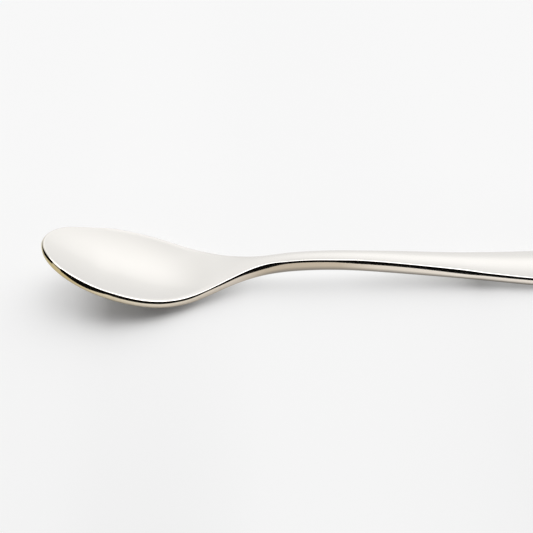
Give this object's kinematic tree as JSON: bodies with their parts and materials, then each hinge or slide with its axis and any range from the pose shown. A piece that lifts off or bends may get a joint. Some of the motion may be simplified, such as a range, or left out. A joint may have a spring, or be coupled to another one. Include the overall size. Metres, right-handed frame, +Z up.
{
  "type": "mustard spoon",
  "caption": "Small polished steel spoon for serving mustard: a shallow egg-shaped bowl tilted up at the tip, a slim arched neck and a flat handle that widens to a rounded end.",
  "frame": {"origin": "on the table, below the middle of the spoon's length and width as it lies at rest", "axes": "+X along the spoon from the bowl tip to the handle end, +Y across it, +Z up from the table"},
  "size_m": [0.132, 0.0242, 0.0098],
  "materials": {
    "polished_steel": "mirror polished stainless steel with a slightly warm tone"
  },
  "bodies": {
    "root": {"spoon": "polished_steel"}
  },
  "joints": []
}
